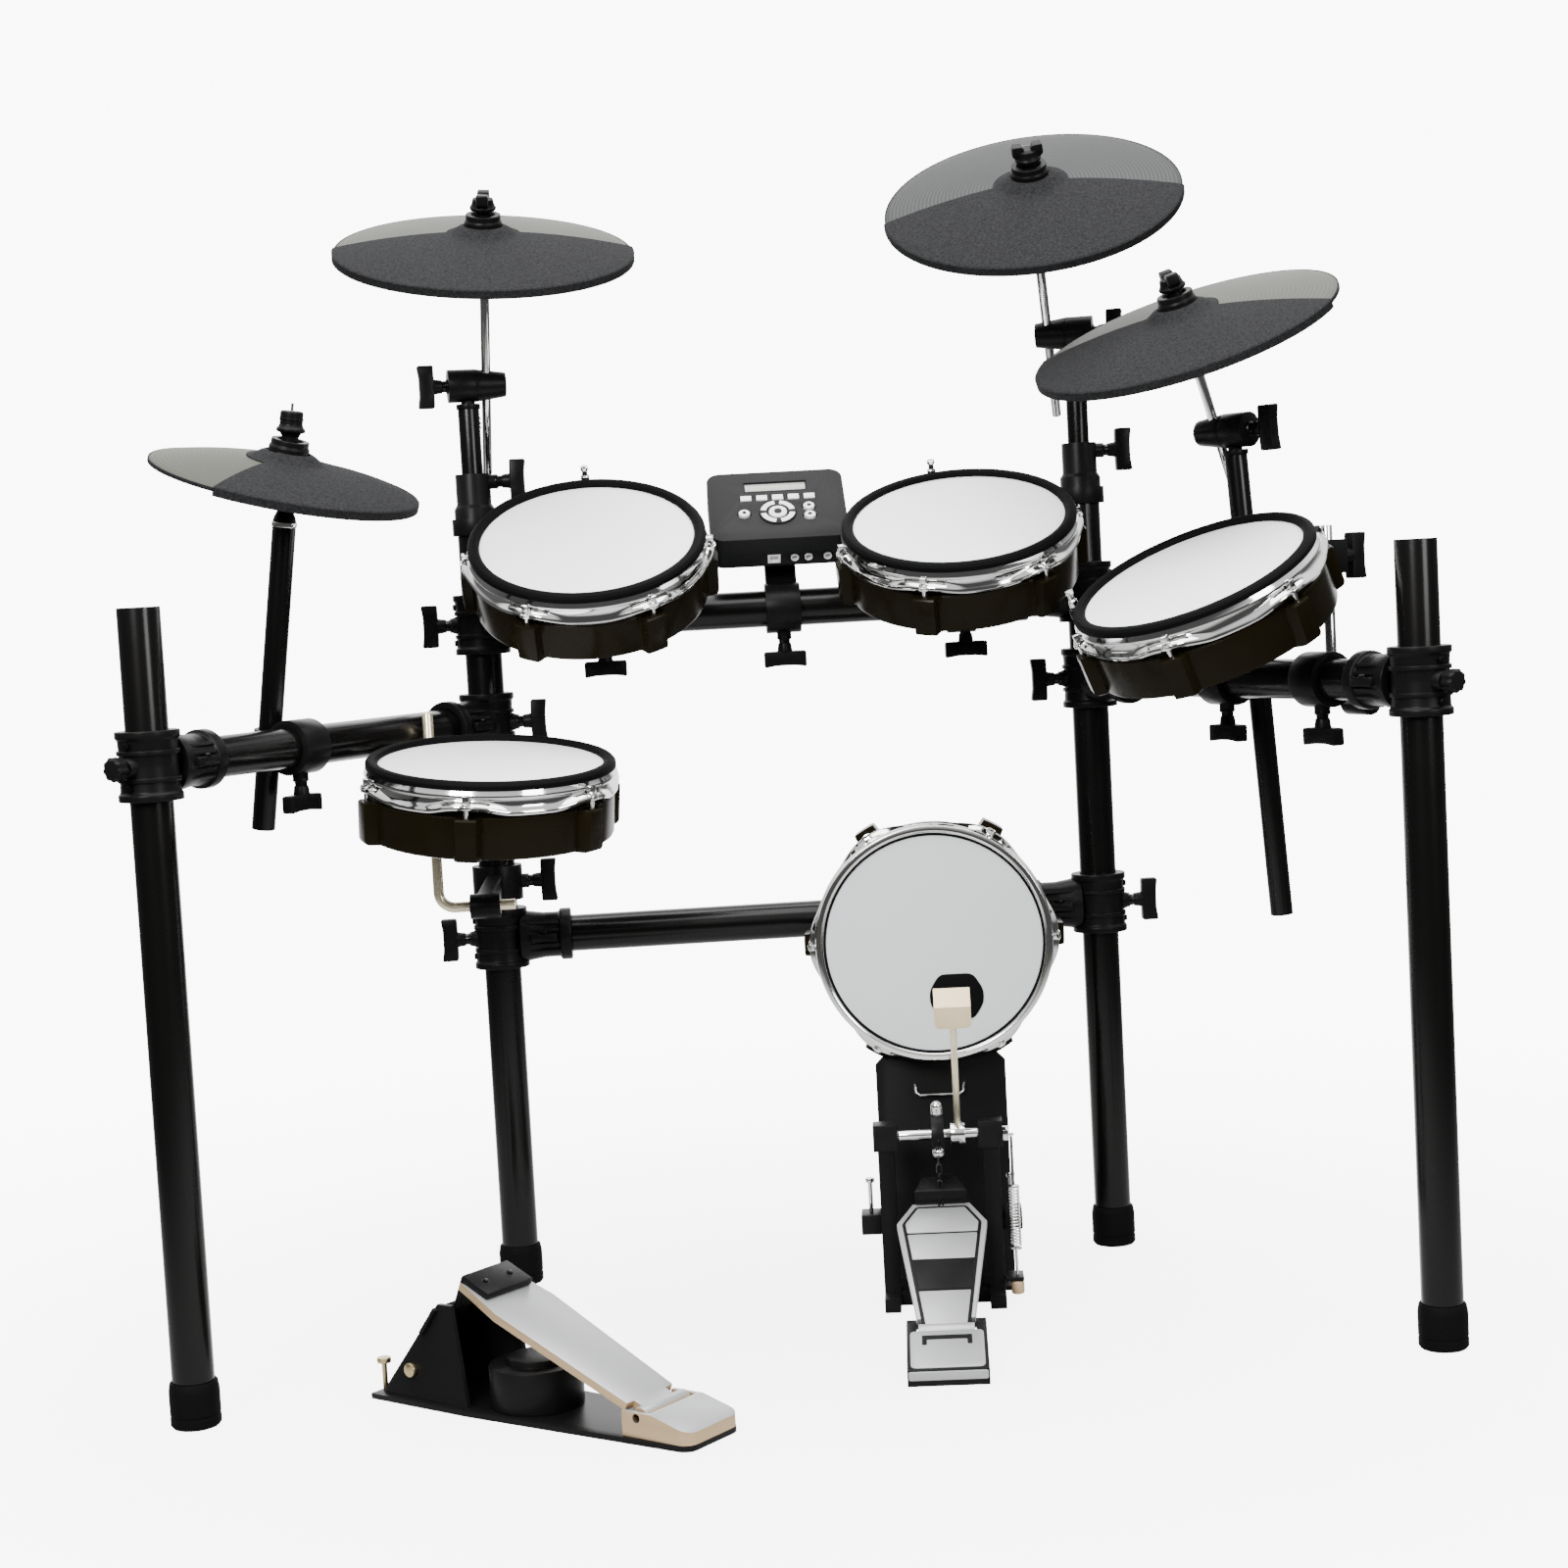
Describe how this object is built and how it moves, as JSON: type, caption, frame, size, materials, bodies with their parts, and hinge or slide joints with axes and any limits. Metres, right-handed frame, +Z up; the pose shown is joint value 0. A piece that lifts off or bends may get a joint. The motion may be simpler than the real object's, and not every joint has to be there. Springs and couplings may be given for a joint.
{
  "type": "electronic drum kit",
  "caption": "Electronic drum kit on a folding black tube rack: mesh pads, cymbal pads, sound module, kick tower with chain pedal and a hi-hat pedal",
  "frame": {"origin": "on the floor, under the middle of the kit's box", "axes": "+X to the drummer's right, +Y away from the drummer, +Z up"},
  "size_m": [1.1939, 0.6981, 1.1771],
  "materials": {
    "black_tube": "gloss",
    "black_moulding": "satin",
    "gloss_shell": "gloss",
    "chrome": "polished",
    "satin_metal": "satin",
    "rubber": "matte",
    "cymbal_rubber": "matte",
    "white_head": "matte",
    "grey_head": "matte",
    "module_plastic": "matte",
    "white_key": "satin",
    "cream_felt": "matte"
  },
  "bodies": {
    "rack": {"rear_posts": "black_tube", "rear_feet": "rubber", "cross_bars": "black_tube", "rack_clamps": "black_moulding", "module_bracket": "black_moulding", "kick_tower": "black_tube", "kick_shell": "gloss_shell", "kick_hoop": "chrome", "kick_head": "grey_head", "kick_pedal_frame": "black_moulding", "pedal_spring": "chrome", "hihat_pedal_base": "satin_metal"},
    "left_wing": {"left_wing_tubes": "black_tube", "left_wing_fittings": "black_moulding"},
    "right_wing": {"right_wing_tubes": "black_tube", "right_wing_fittings": "black_moulding"},
    "left_arm": {"left_arm": "black_tube"},
    "left_boom": {"left_boom": "chrome"},
    "left_crash": {"left_crash": "cymbal_rubber"},
    "right_arm": {"right_arm": "black_tube"},
    "right_boom": {"right_boom": "chrome"},
    "right_crash": {"right_crash": "cymbal_rubber"},
    "ride_boom": {"ride_boom": "chrome"},
    "ride_cymbal": {"ride_cymbal": "cymbal_rubber"},
    "hihat_stand": {"hihat_stand": "black_tube"},
    "hihat_cymbal": {"hihat_cymbal": "cymbal_rubber"},
    "module": {"module_case": "module_plastic", "module_board": "black_moulding"},
    "kick_footboard": {"kick_footboard": "satin_metal", "drive_chain": "chrome"},
    "beater": {"beater_axle": "chrome", "beater": "cream_felt"},
    "hihat_footboard": {"hihat_footboard": "satin_metal"},
    "snare": {"snare_shell": "gloss_shell", "snare_hoop": "chrome", "snare_head": "white_head", "snare_mount": "satin_metal"},
    "left_tom": {"left_tom_shell": "gloss_shell", "left_tom_hoop": "chrome", "left_tom_head": "white_head", "left_tom_mount": "satin_metal"},
    "right_tom": {"right_tom_shell": "gloss_shell", "right_tom_hoop": "chrome", "right_tom_head": "white_head", "right_tom_mount": "satin_metal"},
    "floor_tom": {"floor_tom_shell": "gloss_shell", "floor_tom_hoop": "chrome", "floor_tom_head": "white_head", "floor_tom_mount": "satin_metal"},
    "function_key_1": {"function_key_1": "white_key"},
    "function_key_2": {"function_key_2": "white_key"},
    "function_key_3": {"function_key_3": "white_key"},
    "function_key_4": {"function_key_4": "white_key"},
    "function_key_5": {"function_key_5": "white_key"},
    "click_key": {"click_key": "white_key"},
    "nav_ring": {"nav_ring": "white_key"},
    "nav_key": {"nav_key": "white_key"},
    "plus_key": {"plus_key": "white_key"},
    "minus_key": {"minus_key": "white_key"}
  },
  "joints": [
    {"name": "left_wing_swing", "type": "hinge", "parent": "rack", "child": "left_wing", "pos_m": [-0.2897, 0.2517, 0.593], "axis": [0, 0, 1], "range_deg": [-30, 0]},
    {"name": "right_wing_swing", "type": "hinge", "parent": "rack", "child": "right_wing", "pos_m": [0.3427, 0.2517, 0.606], "axis": [0, 0, 1], "range_deg": [0, 30]},
    {"name": "left_arm_height", "type": "slide", "parent": "rack", "child": "left_arm", "axis": [0, 0, 1], "range_m": [-0.03, 0.06]},
    {"name": "left_boom_tilt", "type": "hinge", "parent": "left_arm", "child": "left_boom", "pos_m": [-0.27017, 0.25497, 0.942], "axis": [0.9863, 0.165, 0], "range_deg": [-10, 15]},
    {"name": "left_crash_rock", "type": "hinge", "parent": "left_boom", "child": "left_crash", "pos_m": [-0.25959, 0.19171, 1.10235], "axis": [0.9981, 0.0225, -0.057], "range_deg": [-8, 8], "stiffness_Nm_per_rad": 6},
    {"name": "right_arm_height", "type": "slide", "parent": "rack", "child": "right_arm", "axis": [0, 0, 1], "range_m": [-0.03, 0.06]},
    {"name": "right_boom_tilt", "type": "hinge", "parent": "right_arm", "child": "right_boom", "pos_m": [0.31662, 0.25869, 0.965], "axis": [0.9659, -0.2588, 0], "range_deg": [-10, 15]},
    {"name": "right_crash_rock", "type": "hinge", "parent": "right_boom", "child": "right_crash", "pos_m": [0.29016, 0.15994, 1.12242], "axis": [0.99, -0.0749, 0.1194], "range_deg": [-8, 8], "stiffness_Nm_per_rad": 6},
    {"name": "ride_boom_tilt", "type": "hinge", "parent": "right_wing", "child": "ride_boom", "pos_m": [0.45043, 0.07202, 0.847], "axis": [0.6561, -0.7547, 0], "range_deg": [-10, 15]},
    {"name": "ride_cymbal_rock", "type": "hinge", "parent": "ride_boom", "child": "ride_cymbal", "pos_m": [0.40772, 0.03488, 0.97472], "axis": [0.9521, -0.0854, 0.2936], "range_deg": [-8, 8], "stiffness_Nm_per_rad": 6},
    {"name": "hihat_height", "type": "slide", "parent": "left_wing", "child": "hihat_stand", "axis": [0.1466, -0.0931, 0.9848], "range_m": [-0.05, 0.05]},
    {"name": "hihat_cymbal_rock", "type": "hinge", "parent": "hihat_stand", "child": "hihat_cymbal", "pos_m": [-0.44165, -0.01311, 0.875], "axis": [0.9691, 0.046, -0.2424], "range_deg": [-8, 8], "stiffness_Nm_per_rad": 5},
    {"name": "snare_tilt", "type": "hinge", "parent": "rack", "child": "snare", "pos_m": [-0.2955, 0.12131, 0.417], "axis": [1, 0, 0], "range_deg": [0, 12]},
    {"name": "left_tom_tilt", "type": "hinge", "parent": "rack", "child": "left_tom", "pos_m": [-0.16379, 0.2857, 0.672], "axis": [1, 0, 0], "range_deg": [-5, 12]},
    {"name": "right_tom_tilt", "type": "hinge", "parent": "rack", "child": "right_tom", "pos_m": [0.21428, 0.2857, 0.672], "axis": [1, 0, 0], "range_deg": [-5, 12]},
    {"name": "floor_tom_tilt", "type": "hinge", "parent": "right_wing", "child": "floor_tom", "pos_m": [0.54858, -0.05762, 0.582], "axis": [0.4443, -0.8959, 0], "range_deg": [-5, 10]},
    {"name": "module_tilt", "type": "hinge", "parent": "rack", "child": "module", "pos_m": [0.024, 0.27984, 0.76013], "axis": [1, 0, 0], "range_deg": [-10, 15]},
    {"name": "kick_footboard_press", "type": "hinge", "parent": "rack", "child": "kick_footboard", "pos_m": [0.12008, -0.13448, 0.026], "axis": [-0.9949, 0.1011, 0], "range_deg": [0, 7], "stiffness_Nm_per_rad": 25, "springref_deg": -6.88, "deforming": ["drive_chain"]},
    {"name": "beater_swing", "type": "hinge", "parent": "rack", "child": "beater", "pos_m": [0.16019, 0.06248, 0.169], "axis": [-0.9949, 0.1011, 0], "range_deg": [0, 38.5], "deforming": ["pedal_spring"]},
    {"name": "hihat_footboard_press", "type": "hinge", "parent": "rack", "child": "hihat_footboard", "pos_m": [-0.14373, -0.28927, 0.022], "axis": [-0.6388, -0.7694, 0], "range_deg": [0, 8], "stiffness_Nm_per_rad": 25, "springref_deg": -6.88},
    {"name": "function_key_1_press", "type": "slide", "parent": "module", "child": "function_key_1", "axis": [0, -0.6293, 0.7771], "range_m": [-0.0012, 0], "stiffness_N_per_m": 400, "springref_m": 0.0006},
    {"name": "function_key_2_press", "type": "slide", "parent": "module", "child": "function_key_2", "axis": [0, -0.6293, 0.7771], "range_m": [-0.0012, 0], "stiffness_N_per_m": 400, "springref_m": 0.0006},
    {"name": "function_key_3_press", "type": "slide", "parent": "module", "child": "function_key_3", "axis": [0, -0.6293, 0.7771], "range_m": [-0.0012, 0], "stiffness_N_per_m": 400, "springref_m": 0.0006},
    {"name": "function_key_4_press", "type": "slide", "parent": "module", "child": "function_key_4", "axis": [0, -0.6293, 0.7771], "range_m": [-0.0012, 0], "stiffness_N_per_m": 400, "springref_m": 0.0006},
    {"name": "function_key_5_press", "type": "slide", "parent": "module", "child": "function_key_5", "axis": [0, -0.6293, 0.7771], "range_m": [-0.0012, 0], "stiffness_N_per_m": 400, "springref_m": 0.0006},
    {"name": "click_key_press", "type": "slide", "parent": "module", "child": "click_key", "axis": [0, -0.6293, 0.7771], "range_m": [-0.0012, 0], "stiffness_N_per_m": 400, "springref_m": 0.0006},
    {"name": "nav_ring_press", "type": "slide", "parent": "module", "child": "nav_ring", "axis": [0, -0.6293, 0.7771], "range_m": [-0.0012, 0], "stiffness_N_per_m": 400, "springref_m": 0.0006},
    {"name": "nav_key_press", "type": "slide", "parent": "module", "child": "nav_key", "axis": [0, -0.6293, 0.7771], "range_m": [-0.0012, 0], "stiffness_N_per_m": 400, "springref_m": 0.0006},
    {"name": "plus_key_press", "type": "slide", "parent": "module", "child": "plus_key", "axis": [0, -0.6293, 0.7771], "range_m": [-0.0012, 0], "stiffness_N_per_m": 400, "springref_m": 0.0006},
    {"name": "minus_key_press", "type": "slide", "parent": "module", "child": "minus_key", "axis": [0, -0.6293, 0.7771], "range_m": [-0.0012, 0], "stiffness_N_per_m": 400, "springref_m": 0.0006}
  ],
  "couplings": [
    {"joint": "beater_swing", "follows": "kick_footboard_press", "ratio": 5.5}
  ]
}
